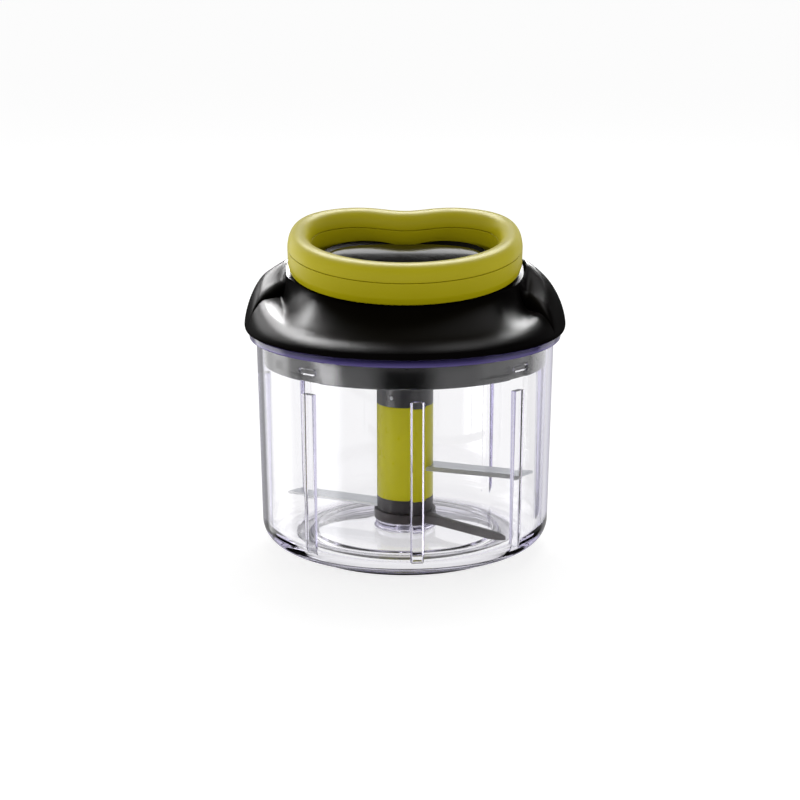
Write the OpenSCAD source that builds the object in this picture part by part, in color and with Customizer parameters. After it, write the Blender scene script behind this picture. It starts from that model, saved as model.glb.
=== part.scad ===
// Manual pull-cord food chopper: clear bowl, blade unit, lid with cord drum,
// and a ring handle that sits on the lid. Millimetres, +Z up, table at z = 0.

/* [Bowl] */
// Outer radius of the bowl wall just under its rim
bowl_r = 63.5; // [63.3:0.1:63.8]
// Outer radius of the bowl wall above its bottom corner
bowl_r_low = 62; // [61.8:0.1:62.4]
// Wall thickness of the clear bowl
bowl_wall = 2.3; // [2.1:0.1:2.4]
// Height of the bowl rim above the table
rim_z = 96; // [95.8:0.1:96.1]
// Radius of the rim flange
flange_r = 66.5; // [65.5:0.1:66.8]
// Number of upright ribs inside the bowl
rib_n = 8; // [4:1:8]
// Angle of the first rib from the front, in degrees
rib_a = 4.8; // [0:0.1:10]
// Height of the flat top of the ribs
rib_top = 77.7; // [70:0.1:79]
// Angle of the first bayonet lug from the front, in degrees
lug_a = 50; // [44:0.5:52]

/* [Blade unit] */
// Outer radius of the shaft sleeve
sleeve_r = 12.2; // [11.8:0.1:12.4]
// Reach of the blade tips from the axis
blade_reach = 55.8; // [50:0.1:56]
// Thickness of the blade steel
blade_t = 1.2; // [0.8:0.1:1.4]
// Direction of the upper blade, in degrees
upper_a = -20; // [-40:1:0]
// Direction of the lower blade, in degrees
lower_a = 155; // [140:1:170]
// Direction of the scraper arm, in degrees
scraper_a = -43; // [-60:1:-30]

/* [Lid] */
// Largest radius of the lid
lid_r = 68.5; // [68.3:0.1:68.7]
// Lower edge of the lid skirt
skirt_z = 82.7; // [82.5:0.1:83]
// Turn of the bayonet lock, in degrees
lock_turn = 15; // [10:1:16]
// Wall thickness of the lid cover
cover_t = 2.3; // [2:0.1:2.5]

/* [Handle] */
// Forward tilt of the handle seat, in degrees
tilt = 13.8; // [13:0.1:14]
// Height of the handle ring across its seat
ring_h = 17.5; // [16:0.1:17.6]
// Height of the parting line above the handle underside
part_h = 10.3; // [9.6:0.1:10.8]
// Half thickness of the ring
ring_t = 5; // [4.8:0.1:5.2]
// Depth of the dent in the back of the ring
ring_dent = 5; // [3:0.1:6]

/* [Hidden] */
$fn = 96;

gap = 0.3;                       // running gap between separate bodies
floor_z = 8.8;                   // inside floor of the bowl
chan_z = 6.8;                    // channel round the floor
foot_z = 3.2;                    // underside of the bowl foot
boss_z = 11.8;                   // top of the boss that carries the pin
lid_z = rim_z + gap;             // lower edge of the lid
in_r_low = bowl_r_low - bowl_wall;
in_r_top = bowl_r - bowl_wall;
lug_z = 87.2;                    // middle of the bayonet lugs
lug_in = 59.6;                   // inner end of the lugs
skirt_r = 60.4;                  // outside of the lid skirt
plate_z = 84.5;                  // underside of the lid floor
plate_t = 2.5;
deck_z = plate_z + plate_t;      // top of the lid floor
blade_z_low = 17;                // underside of the lower blade
blade_z_up = 35.4;               // underside of the upper blade
collar_z = 22.3;                 // top of the collar, bottom of the sleeve
sleeve_z = 63.6;                 // top of the sleeve
cap_z = 80.2;                    // top of the shaft cap
seat_y = -35;                    // front lower edge of the handle ring
seat_z = 111.4;
ring_y = 4;                      // widest line of the ring
pillars = [90, 210, 330];
// cord route inside the lid: off the drum, then up to the eyelet
cord_pts = [[18.5, 24.8, 97.8], [24, 20.7, 97.8], [29.5, 16.6, 97.9],
    [34, 13.2, 98.6], [38.5, 9.9, 100.8], [42, 7.3, 104.5], [44.2, 5.6, 109],
    [45, 5.3, 113], [45, 5, 116.2], [45, 4.4, 119.2]];

function arc(cx, cy, r, a0, a1, n) =
    [for (i = [0:n]) let(a = a0 + (a1 - a0) * i / n) [cx + r * cos(a), cy + r * sin(a)]];
function lerp(a, b, t) = a + (b - a) * t;
function sstep(a, b, v) = let(t = min(1, max(0, (v - a) / (b - a)))) t * t * (3 - 2 * t);
function unit(v) = v / norm(v);

// ---------- seat frame of the handle ----------
module seat() translate([0, seat_y, seat_z]) rotate([tilt, 0, 0]) children();
function seat_w(y) = (y - seat_y) / cos(tilt);
function seat_plane(y) = seat_z + (y - seat_y) * tan(tilt);

// middle line of the ring in plan: an oval with a dent in its back
function ring_rad(a) = let(n = sin(a) < 0 ? 2 : 3, b = sin(a) < 0 ? 33.5 : 26)
    pow(pow(abs(cos(a)) / 45, n) + pow(abs(sin(a)) / b, n), -1 / n);
function ring_xy(a) = let(r = ring_rad(a), x = r * cos(a), y = r * sin(a))
    [x, ring_y + y - (y > 0 ? ring_dent * exp(-pow(x / 14, 2)) : 0)];
function ring_side(a) = let(d = ring_xy(a + 1) - ring_xy(a - 1), t = unit([d[0], d[1] / cos(tilt)]))
    [t[1], -t[0]];
// a point of the ring section at angle a, s across (out is +), h above the seat
function ring_pt(a, s, h) = let(c = ring_xy(a), n = ring_side(a))
    [c[0] + s * n[0], seat_w(c[1]) + s * n[1], h];

// closed tube from a closed section carried round the ring
module ring_sweep(sec, m = 60) {
    k = len(sec);
    pts = [for (i = [0:m - 1]) for (q = sec) ring_pt(360 * i / m, q[0], q[1])];
    fcs = [for (i = [0:m - 1]) for (j = [0:k - 1])
        let(a = i * k + j, b = i * k + (j + 1) % k,
            c = ((i + 1) % m) * k + (j + 1) % k, d = ((i + 1) % m) * k + j)
        each [[a, b, c], [a, c, d]]];
    seat() polyhedron(points = pts, faces = fcs, convexity = 6);
}

// ---------- bowl ----------
function bowl_out() = concat(
    [[0, 6.2], [38.5, 6.2], [40, foot_z], [41.3, foot_z], [41.3, 4.2], [47.2, 4.2], [47.2, foot_z]],
    arc(bowl_r_low - 10, foot_z + 10, 10, -90, 0, 9),
    [[bowl_r, rim_z - 4], [bowl_r + 0.3, rim_z - 3.2], [bowl_r + 1, rim_z - 3],
     [flange_r, rim_z - 3], [flange_r, rim_z]]);
function bowl_in() = concat(
    [[in_r_top, rim_z], [in_r_low, 15]],
    arc(in_r_low - 8.2, 15, 8.2, 0, -90, 8),
    [[41.3, chan_z], [40, floor_z], [0, floor_z]]);

module rib_bars() for (i = [0:rib_n - 1]) rotate(rib_a - 90 + i * 360 / rib_n)
    translate([in_r_low + 0.3, 0, 4]) cylinder(r = 2.3, h = rib_top - 4, $fn = 32);

module lug() translate([lug_in, 0, lug_z]) rotate([0, 90, 0]) {
    translate([-1.25, -3.1, 0]) cube([2.5, 6.2, 2.4]);
    for (s = [-1, 1]) translate([0, s * 3.1, 0]) cylinder(r = 1.25, h = 2.4, $fn = 32);
}

module bowl() color([0.86, 0.87, 0.94, 0.35]) difference() {
    union() {
        rotate_extrude() polygon(concat(bowl_out(), bowl_in()));
        intersection() {
            rib_bars();
            rotate_extrude() polygon(concat(bowl_out(), [[0, rim_z]]));
        }
        for (i = [0:3]) rotate(lug_a - 90 + 90 * i) lug();
        translate([0, 0, floor_z - 1]) cylinder(r = 12.8, h = boss_z - floor_z + 1);
    }
    translate([0, 0, 7.2]) cylinder(r = 3.02, h = 10);
}

module base_ring() color([0.09, 0.09, 0.1]) rotate_extrude()
    polygon([[41.5, 0.4], [41.9, 0], [46.4, 0], [47, 0.6], [47, 4.2], [41.5, 4.2]]);

module pivot_pin() color([0.75, 0.76, 0.78]) rotate_extrude()
    polygon([[0, 7.2], [3, 7.2], [3, 56], [2.2, 57.5], [0, 57.5]]);

// ---------- blade unit ----------
module shaft_core() color([0.2, 0.19, 0.2]) difference() {
    translate([0, 0, boss_z + gap]) cylinder(r = 9, h = 69.5 - boss_z - gap);
    translate([0, 0, 10]) cylinder(r = 3.4, h = 50);
    translate([0, 0, 10]) cylinder(r = 5.02, h = 16);
    cap_pin_bar(0.92);
}

module pivot_bush() color([0.85, 0.84, 0.8]) difference() {
    translate([0, 0, boss_z + gap]) cylinder(r = 5, h = 13);
    translate([0, 0, 10]) cylinder(r = 3.06, h = 20);
}

// the pin that holds the cap on the core, 29 degrees left of the front
module cap_pin_bar(r, more = 0) rotate(-119) translate([7.4, 0, 67.6]) rotate([0, 90, 0]) cylinder(r = r, h = sleeve_r - 7.5 + more, $fn = 32);
module cap_pin() color([0.8, 0.8, 0.82]) cap_pin_bar(0.9);

// a sector of a tube, for the drive dogs
module dog(r0, r1, z0, z1, half) difference() {
    intersection() {
        translate([0, 0, z0]) cylinder(r = r1, h = z1 - z0);
        translate([0, 0, z0]) linear_extrude(z1 - z0)
            polygon([[0, 0], [20, -20 * tan(half)], [20, 20 * tan(half)]]);
    }
    translate([0, 0, z0 - 1]) cylinder(r = r0, h = z1 - z0 + 2);
}

module shaft_cap() color([0.17, 0.17, 0.18]) {
    difference() {
        translate([0, 0, sleeve_z]) cylinder(r = sleeve_r, h = cap_z - sleeve_z);
        translate([0, 0, sleeve_z - 1]) cylinder(r = 9.03, h = 69.6 - sleeve_z + 1);
        translate([0, 0, 71.5]) cylinder(r = 9.5, h = 12);
        cap_pin_bar(0.92, 1);
    }
    for (a = [0, 180]) rotate(a) dog(4.6, 9.6, 71.4, 79.9, 15);
}

module blade_plan(x0) polygon([[x0, -6.5], [blade_reach - 4.4, -6.5], [blade_reach, 5.4], [x0, 6.5]]);
module blade_plate(z, a) rotate(a) translate([0, 0, z]) linear_extrude(blade_t) blade_plan(10.2);
module blade_slot(z, a) rotate(a) translate([0, 0, z - 0.02]) linear_extrude(blade_t + 0.04)
    polygon([[10.15, -6.55], [20, -6.55], [20, 6.55], [10.15, 6.55]]);

module blade_sleeve() color([0.66, 0.63, 0.1]) difference() {
    translate([0, 0, collar_z]) cylinder(r = sleeve_r, h = sleeve_z - collar_z);
    translate([0, 0, collar_z - 1]) cylinder(r = 9.03, h = 60);
    blade_slot(blade_z_up, upper_a);
}

module blade_collar() color([0.22, 0.2, 0.21]) difference() {
    rotate_extrude() polygon([[9.03, boss_z + gap], [11.2, boss_z + gap], [11.2, 16.6],
        [sleeve_r, 16.6], [sleeve_r, collar_z], [9.03, collar_z]]);
    blade_slot(blade_z_low, lower_a);
}

module upper_blade() color([0.72, 0.74, 0.76]) blade_plate(blade_z_up, upper_a);
module lower_blade() color([0.72, 0.74, 0.76]) blade_plate(blade_z_low, lower_a);

module scraper_arm() color([0.25, 0.23, 0.24]) difference() {
    union() {
        translate([0, 0, boss_z + gap]) cylinder(r = 13.4, h = 4.4);
        rotate(scraper_a) translate([0, 0, 12.5]) linear_extrude(3.8)
            polygon([[9, -4], [16, -3.2], [21, -2], [51, -1.9], [55.6, 1.6], [21, 2], [16, 3.2], [9, 4]]);
    }
    translate([0, 0, 10]) cylinder(r = 11.23, h = 20);
}

// ---------- lid ----------
module lid_seal() color([0.12, 0.12, 0.13]) rotate_extrude()
    polygon([[59.2, 93.5], [60.5, 93.5], [60.85, 94.3], [60.5, 95.1], [59.2, 95.1]]);

module bayonet() rotate(lug_a - 90) {
    // entry, open downwards, at the lug
    rotate(-5.2) rotate_extrude(angle = 10.4) translate([59, skirt_z - 1]) square([4, 89.1 - skirt_z + 1]);
    // pocket that the lug turns into
    rotate(-5.2 - lock_turn) rotate_extrude(angle = 8 + lock_turn) translate([58.92, 85.3]) square([4, 3.6]);
}

module lid_base() color([0.15, 0.15, 0.16]) difference() {
    union() {
        rotate_extrude() polygon([[9.05, skirt_z], [12, skirt_z], [12, plate_z], [56.6, plate_z],
            [56.6, skirt_z], [skirt_r - 0.6, skirt_z], [skirt_r, skirt_z + 0.6], [skirt_r, 93.2], [58.9, 93.2],
            [58.9, 95.4], [skirt_r, 95.4], [skirt_r, lid_z], [65.5, lid_z], [65.5, lid_z + 2],
            [57.4, lid_z + 2], [57.4, deck_z], [9.05, deck_z]]);
        for (a = pillars) rotate(a) translate([36.5, 0, deck_z - 0.5]) cylinder(r = 2.4, h = 102.6 - deck_z + 0.5, $fn = 32);
    }
    for (i = [0:3]) rotate(90 * i) bayonet();
    for (a = pillars) rotate(a) translate([36.5, 0, 94]) cylinder(r = 1.5, h = 20, $fn = 32);
}

module bearing_plate() color([0.3, 0.3, 0.32]) difference() {
    union() {
        translate([0, 0, 102.6]) cylinder(r = 31, h = 2);
        for (a = pillars) rotate(a) {
            translate([28, -4, 102.6]) cube([8.5, 8, 2]);
            translate([36.5, 0, 102.6]) cylinder(r = 4, h = 2, $fn = 32);
        }
        translate([0, 0, 92.4]) cylinder(r = 5, h = 11);
    }
    translate([0, 0, 92]) cylinder(r = 2.55, h = 4);
    for (a = pillars) rotate(a) translate([36.5, 0, 100]) cylinder(r = 1.6, h = 10, $fn = 32);
}

module plate_screws() color([0.7, 0.7, 0.72]) for (a = pillars) rotate(a) translate([36.5, 0, 0]) {
    translate([0, 0, 95]) cylinder(r = 1.45, h = 9.7, $fn = 32);
    difference() {
        translate([0, 0, 104.6]) cylinder(r = 2.8, h = 1.7, $fn = 32);
        translate([0, 0, 105.6]) linear_extrude(2) { square([3, 0.7], center = true); square([0.7, 3], center = true); }
    }
}

// flat spiral between the post and the drum
module recoil_spring() {
    n = 150; turns = 5;
    r0 = 6; r1 = 21;
    inner = [for (i = [0:n]) let(t = i / n, a = 360 * turns * t, r = lerp(r0, r1, t)) [r * cos(a), r * sin(a)]];
    outer = [for (i = [n:-1:0]) let(t = i / n, a = 360 * turns * t, r = lerp(r0, r1, t) + 0.45) [r * cos(a), r * sin(a)]];
    color([0.5, 0.52, 0.56]) translate([0, 0, 97.9]) linear_extrude(3.3) polygon(concat(inner, outer));
}

// ---- lid cover: a dome covers the back, a flared apron the front; they meet in a crease on each side ----
cov_m = 72;
crease_l = 195;                  // angle at which the left crease meets the rim
crease_r = 335;                  // angle at which the right crease meets the rim
z_rim = lid_z + 2.5;
function turn_from(a, c) = let(d = (a - c) % 360) d > 180 ? d - 360 : d < -180 ? d + 360 : d;
// the creases lean back from the rim to the neck
function neck_a(a) = a - 11 * exp(-pow(turn_from(a, crease_l) / 38, 2)) + 10 * exp(-pow(turn_from(a, crease_r) / 38, 2));
// the neck stands clear of the ring behind, and runs under it at the front
function neck_out(a) = let(f = turn_from(a, 90)) ring_t - 1.5 + 2.3 * sstep(110, 96, f) * sstep(-121, -107, f);
function neck_xy(a) = let(c = ring_xy(a)) c + neck_out(a) * [cos(a), sin(a)];
function well_xy(a) = let(c = ring_xy(a)) c - (ring_t + 1 + 1.6 * sstep(0.1, 0.5, sin(a))) * [cos(a), sin(a)];
function ledge_z(y) = seat_plane(y) - 0.8;
// share of the dome at angle a: none in front of the creases, a low step at them, and a long rise behind
function domed(a, lag) = let(f = turn_from(a, 90), t = max(0, min(crease_l - 90 - lag - f, f + 450 - crease_r - lag)))
    0.33 * sqrt(1 - pow(1 - min(1, t / 4), 2)) + 0.67 * sstep(0, 30, t);
function dome_z(r) = z_rim + 31.56 * pow(max(0, 1 - pow(r / lid_r, 4.31)), 0.6214);
// the apron: full at the rim, a shoulder that falls towards the front, hollow under the ring
function shoulder_z(a) = z_rim + 2.7 + 20.3 * exp(3.364 * sin(a));
function apron_z(a, zn, run, s) = let(zs = min(shoulder_z(a), zn - 1), front = sstep(0.3, 0.75, -sin(a)),
    e = max(0, 1 - s * run / 11), d = max(0, 1 - (1 - s) * run / (4 + 20 * front)))
    z_rim + (zs - z_rim) * pow(1 - pow(e, 1.8), 0.75) + (zn - zs) * lerp(1 - sqrt(1 - d * d), pow(d, 1.7), front);
// the flank at angle a and share s of the way from rim to neck
function flank(a, s, lag) = let(n = neck_xy(neck_a(a)), r = lid_r * [cos(a), sin(a)], p = lerp(r, n, s),
    zn = ledge_z(n[1]), zd = s > 0.985 ? zn : dome_z(norm(p)))
    [p[0], p[1], lerp(apron_z(a, zn, norm(r - n), s), zd, domed(a, lag))];
cov_s = [0.03, 0.08, 0.16, 0.27, 0.4, 0.54, 0.68, 0.8, 0.88, 0.94, 0.975, 1];
function well(a, t) = let(p = well_xy(a) * t, e = t > 0.99 ? -0.8 : t > 0.93 ? 3.6 : 5.3)
    [p[0], p[1], seat_plane(p[1]) + e];
cov_t = [1, 0.94, 0.88, 0.5];
cov_k = 3 + len(cov_s) + len(cov_t);
function cov_pt(k, a, lag) =
    k == 0 ? [(lid_r - 1.2) * cos(a), (lid_r - 1.2) * sin(a), lid_z] :
    k == 1 ? [(lid_r - 0.3) * cos(a), (lid_r - 0.3) * sin(a), lid_z + 0.9] :
    k == 2 ? [lid_r * cos(a), lid_r * sin(a), z_rim] :
    k < 3 + len(cov_s) ? flank(a, cov_s[k - 3], lag) : well(neck_a(a), cov_t[k - 3 - len(cov_s)]);
in_rim = lid_r - 2.7;            // straight inside of the rim, round the flange of the lid base
// the inside follows a little behind the creases, and leaves the lip round the ring solid
function inward(k, a) = let(p = cov_pt(k, a, 6), q = (k < 3 ? in_rim / norm([p[0], p[1]]) : (in_rim - 0.1) / lid_r),
    top = k < 3 + len(cov_s) ? ledge_z(neck_xy(neck_a(a))[1]) : 200)
    [p[0] * q, p[1] * q, k < 3 ? p[2] : max(min(p[2], top) - cover_t, lid_z + 2.3)];

module cover_shell() {
    m = cov_m;
    outer = [for (k = [0:cov_k - 1]) for (i = [0:m - 1]) cov_pt(k, 360 * i / m, 0)];
    inner = [for (k = [0:cov_k - 1]) for (i = [0:m - 1]) inward(k, 360 * i / m)];
    top = [[0, 0, seat_plane(0) + 5.3], [0, 0, seat_plane(0) + 5.3 - cover_t]];
    no = cov_k * m;
    fo = [for (k = [0:cov_k - 2]) for (i = [0:m - 1]) let(j = (i + 1) % m)
        each [[k * m + i, (k + 1) * m + i, (k + 1) * m + j], [k * m + i, (k + 1) * m + j, k * m + j]]];
    fi = [for (k = [0:cov_k - 2]) for (i = [0:m - 1]) let(j = (i + 1) % m)
        each [[no + k * m + i, no + (k + 1) * m + j, no + (k + 1) * m + i], [no + k * m + i, no + k * m + j, no + (k + 1) * m + j]]];
    la = (cov_k - 1) * m;
    fa = [for (i = [0:m - 1]) let(j = (i + 1) % m) each [[la + i, 2 * no, la + j], [no + la + i, no + la + j, 2 * no + 1]]];
    fb = [for (i = [0:m - 1]) let(j = (i + 1) % m) each [[i, j, no + j], [i, no + j, no + i]]];
    polyhedron(points = concat(outer, inner, top), faces = concat(fo, fi, fa, fb), convexity = 8);
}

module lid_cover() color([0.05, 0.04, 0.04]) difference() {
    cover_shell();
    seat() translate([45, seat_w(ring_y), -8]) cylinder(r = 2.42, h = 9, $fn = 32);
}

module badge_plate() color([0.07, 0.05, 0.05]) seat() translate([0, seat_w(-2.2), 5.25]) linear_extrude(2)
    polygon([for (i = [0:71]) let(a = i * 5, r = pow(pow(abs(cos(a)), 3) + pow(abs(sin(a)), 3), -1 / 3))
        [34 * r * cos(a), 16.4 * r * sin(a)]]);

module cord_eyelet() color([0.75, 0.75, 0.77]) seat() translate([45, seat_w(ring_y), 0]) difference() {
    union() {
        translate([0, 0, -4.2]) cylinder(r = 2.4, h = 3.6, $fn = 48);
        translate([0, 0, -0.75]) cylinder(r = 3.3, h = 0.45, $fn = 48);
    }
    translate([0, 0, -5]) cylinder(r = 1.3, h = 6, $fn = 48);
}

// cord inside the lid: one tube along its route
module cord_lead() {
    n = len(cord_pts); k = 8; r = 0.8;
    function dir(i) = unit(cord_pts[min(n - 1, i + 1)] - cord_pts[max(0, i - 1)]);
    pts = [for (i = [0:n - 1]) let(t = dir(i), u = unit(cross(t, [0.6, -0.75, 0.1])), v = cross(t, u))
        for (j = [0:k - 1]) cord_pts[i] + r * cos(j * 360 / k) * u + r * sin(j * 360 / k) * v];
    fcs = concat([[for (j = [0:k - 1]) j]], [[for (j = [k - 1:-1:0]) (n - 1) * k + j]],
        [for (i = [0:n - 2]) for (j = [0:k - 1]) let(b = (j + 1) % k)
            each [[i * k + j, (i + 1) * k + j, (i + 1) * k + b], [i * k + j, (i + 1) * k + b, i * k + b]]]);
    color([0.85, 0.85, 0.82]) polyhedron(points = pts, faces = fcs, convexity = 4);
}

// ---------- drum, pawls and hub ----------
pawl_at = [-14.5, 14.5];
module cord_drum() color([0.75, 0.75, 0.72]) difference() {
    rotate_extrude() polygon([[5.05, 92.8], [9, 92.8], [9, 93.5], [33, 93.5], [33, 95], [25, 95], [25, 100.5],
        [33, 100.5], [33, 101.8], [23, 101.8], [23, 95.5], [7.2, 95.5], [7.2, 97.4], [5.05, 97.4]]);
    for (a = [0, 180]) rotate(a) translate([pawl_at[0], pawl_at[1], 90]) cylinder(r = 1.22, h = 10, $fn = 32);
}

module cord_winding() color([0.87, 0.87, 0.84]) rotate_extrude() translate([25.03, 95.1]) square([4.77, 5.3]);

module pawl_pins() color([0.7, 0.71, 0.73]) for (a = [0, 180]) rotate(a) translate([pawl_at[0], pawl_at[1], 0]) {
    translate([0, 0, 87.8]) cylinder(r = 1.2, h = 7.5, $fn = 32);
    translate([0, 0, 87.4]) cylinder(r = 2, h = 0.5, $fn = 32);
}

module pawl() translate([0, 0, 88.2]) difference() {
    union() {
        linear_extrude(2.6) polygon([[-0.3, 13], [-0.3, 15.4], [-13.5, 16.9], [-13.5, 12.2], [-2.4, 13.1]]);
        translate([pawl_at[0], pawl_at[1], 0]) cylinder(r = 2.5, h = 2.6, $fn = 32);
    }
    translate([pawl_at[0], pawl_at[1], -1]) cylinder(r = 1.26, h = 5, $fn = 32);
}
module front_pawl() color([0.55, 0.55, 0.57]) rotate(180) pawl();
module rear_pawl() color([0.55, 0.55, 0.57]) pawl();

module drive_hub() color([0.32, 0.32, 0.34]) {
    translate([0, 0, deck_z + gap]) linear_extrude(3.9)
        polygon([for (k = [0:9]) each [[12 * cos(36 * k - 18), 12 * sin(36 * k - 18)],
            [14.5 * cos(36 * k + 18), 14.5 * sin(36 * k + 18)]]]);
    translate([0, 0, 91]) cylinder(r = 2.5, h = 4);
    difference() {
        translate([0, 0, 80.5]) cylinder(r = 9, h = deck_z + gap + 0.1 - 80.5);
        translate([0, 0, 81.4]) difference() { cylinder(r = 12, h = 1.1); translate([0, 0, -1]) cylinder(r = 7.5, h = 4); }
    }
    translate([0, 0, 71.9]) cylinder(r = 4, h = 9);
    for (a = [35, 215]) rotate(a) dog(3.5, 8.8, 72, 80.8, 15);
}

module hub_clip() color([0.72, 0.72, 0.74]) translate([0, 0, 81.5]) difference() {
    cylinder(r = 10.6, h = 0.9);
    translate([0, 0, -1]) cylinder(r = 7.53, h = 3);
    translate([4, -3.5, -1]) cube([10, 7, 3]);
}

// ---------- handle ring ----------
function top_arc(w, h0, h1, n) = [for (i = [0:n]) let(a = 180 * i / n) [w * cos(a), h0 + (h1 - h0) * sin(a)]];
sec_top = concat(top_arc(ring_t, part_h + 0.2, ring_h, 10),
    [[-3.9, part_h + 0.2], [-3.9, part_h - 0.1], [-2.8, part_h - 0.1]],
    [for (i = [6:-1:0]) let(a = 180 * i / 6) [2.8 * cos(a), part_h + 0.2 + (ring_h - part_h - 2.4) * sin(a)]],
    [[2.8, part_h - 0.1], [3.9, part_h - 0.1], [3.9, part_h + 0.2]]);
sec_bottom = [[ring_t, part_h - 0.1], [-ring_t, part_h - 0.1], [-ring_t + 0.1, 3], [-ring_t + 0.7, 0.5], [-ring_t + 1.2, 0],
    [ring_t - 1.2, 0], [ring_t - 0.7, 0.5], [ring_t - 0.1, 3]];
sec_cav = [[2.8, part_h + 2], [-2.8, part_h + 2], [-2.5, 2.2], [2.5, 2.2]];
sec_trough = [[ring_t, part_h - 0.1], [2.8, part_h - 0.1], [2.5, 2.2], [-2.5, 2.2], [-2.8, part_h - 0.1], [-ring_t, part_h - 0.1],
    [-ring_t + 0.1, 3], [-ring_t + 0.7, 0.5], [-ring_t + 1.2, 0], [ring_t - 1.2, 0], [ring_t - 0.7, 0.5], [ring_t - 0.1, 3]];

module handle_top() color([0.66, 0.62, 0.11]) ring_sweep(sec_top);

module handle_bottom() color([0.64, 0.6, 0.1]) difference() {
    ring_sweep(sec_trough);
    seat() translate([45, seat_w(ring_y), -2]) cylinder(r = 1.3, h = 6, $fn = 32);
}

module cord_knot() color([0.87, 0.87, 0.84]) seat() translate([45, seat_w(ring_y), 0]) {
    translate([0, 0, 4.5]) sphere(r = 2.2, $fn = 32);
    translate([0, 0, 0.2]) cylinder(r = 0.8, h = 4, $fn = 32);
}

bowl();
base_ring();
pivot_pin();
lid_seal();
lid_base();
lid_cover();
badge_plate();
bearing_plate();
plate_screws();
cord_eyelet();
cord_lead();
recoil_spring();
cord_drum();
cord_winding();
pawl_pins();
front_pawl();
rear_pawl();
drive_hub();
hub_clip();
shaft_core();
shaft_cap();
cap_pin();
blade_sleeve();
blade_collar();
upper_blade();
lower_blade();
scraper_arm();
pivot_bush();
handle_top();
handle_bottom();
cord_knot();
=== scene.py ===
# Looks of a manual pull-cord food chopper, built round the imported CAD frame.
# Millimetres in the shape code, metres in Blender, +Z up, table at z = 0.
from math import acos, atan2, cos, exp, pi, radians, sin, sqrt, tan

import bpy
import numpy as np
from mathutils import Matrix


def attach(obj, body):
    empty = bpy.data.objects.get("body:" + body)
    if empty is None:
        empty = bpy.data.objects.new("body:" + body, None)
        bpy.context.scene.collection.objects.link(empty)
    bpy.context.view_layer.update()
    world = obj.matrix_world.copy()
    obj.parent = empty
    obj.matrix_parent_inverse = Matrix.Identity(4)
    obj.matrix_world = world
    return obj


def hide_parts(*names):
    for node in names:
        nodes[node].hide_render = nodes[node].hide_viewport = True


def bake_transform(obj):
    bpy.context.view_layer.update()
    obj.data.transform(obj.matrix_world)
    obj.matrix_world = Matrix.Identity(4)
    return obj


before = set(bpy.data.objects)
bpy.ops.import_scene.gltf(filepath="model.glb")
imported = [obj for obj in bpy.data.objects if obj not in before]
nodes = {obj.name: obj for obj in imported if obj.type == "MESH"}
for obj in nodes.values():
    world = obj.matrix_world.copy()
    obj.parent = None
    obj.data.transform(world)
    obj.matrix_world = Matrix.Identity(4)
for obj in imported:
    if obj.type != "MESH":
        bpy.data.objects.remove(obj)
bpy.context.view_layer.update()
scene = bpy.context.scene


# ---------------------------------------------------------------- meshes
def add_piece(name, verts, faces, mats, body, stands_for=(), sharp=35, tint=None):
    """A closed mesh (mm) as a piece that rides on a body. Faces are turned outwards."""
    verts = np.asarray(verts, float)
    vol = 0.0
    for f in faces:
        a = verts[f[0]]
        for i in range(1, len(f) - 1):
            vol += float(np.dot(a, np.cross(verts[f[i]], verts[f[i + 1]])))
    if vol < 0:
        faces = [tuple(reversed(f)) for f in faces]
    me = bpy.data.meshes.new(name)
    me.from_pydata((verts * 0.001).tolist(), [], [tuple(int(i) for i in f) for f in faces])
    me.validate()
    me.update()
    for m in mats if isinstance(mats, (list, tuple)) else [mats]:
        me.materials.append(m)
    me.shade_smooth()
    me.set_sharp_from_angle(angle=radians(sharp))
    if tint is not None:
        at = me.attributes.new("tint", "FLOAT", "POINT")
        at.data.foreach_set("value", np.asarray(tint, np.float32))
    ob = bpy.data.objects.new(name, me)
    scene.collection.objects.link(ob)
    if body:
        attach(ob, body)
    if stands_for:
        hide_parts(*stands_for)
    return ob


def skin(rings, pole_a=None, pole_b=None, wrap=False):
    """Quads between rings of equal length, each ring closed. Poles close the ends, wrap joins last to first."""
    n = len(rings[0])
    verts = [p for r in rings for p in r]
    faces = []
    m = len(rings)
    for k in range(m if wrap else m - 1):
        a, b = k * n, ((k + 1) % m) * n
        for i in range(n):
            j = (i + 1) % n
            faces.append((a + i, b + i, b + j, a + j))
    if pole_a is not None:
        verts.append(pole_a)
        c = len(verts) - 1
        faces += [(c, i, (i + 1) % n) for i in range(n)]
    if pole_b is not None:
        verts.append(pole_b)
        c = len(verts) - 1
        o = (m - 1) * n
        faces += [(c, o + (i + 1) % n, o + i) for i in range(n)]
    return verts, faces


def rounded(pts, radii, n=5, closed=True):
    """The polyline with each corner rounded to its radius."""
    pts = [np.array(p, float) for p in pts]
    out = []
    for i, (p, r) in enumerate(zip(pts, radii)):
        if r <= 0 or (not closed and i in (0, len(pts) - 1)):
            out.append(p)
            continue
        a, b = pts[i - 1], pts[(i + 1) % len(pts)]
        la, lb = np.linalg.norm(a - p), np.linalg.norm(b - p)
        u, v = (a - p) / la, (b - p) / lb
        ang = acos(max(-1.0, min(1.0, float(u @ v))))
        if ang > pi - 1e-3:
            out.append(p)
            continue
        d = min(r / tan(ang / 2), 0.49 * la, 0.49 * lb)
        rr = d * tan(ang / 2)
        c = p + (u + v) / np.linalg.norm(u + v) * rr / sin(ang / 2)
        s, e = p + u * d - c, p + v * d - c
        a0, a1 = atan2(s[1], s[0]), atan2(e[1], e[0])
        da = (a1 - a0 + pi) % (2 * pi) - pi
        out += [c + rr * np.array([cos(a0 + da * k / n), sin(a0 + da * k / n)]) for k in range(n + 1)]
    return out


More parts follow.
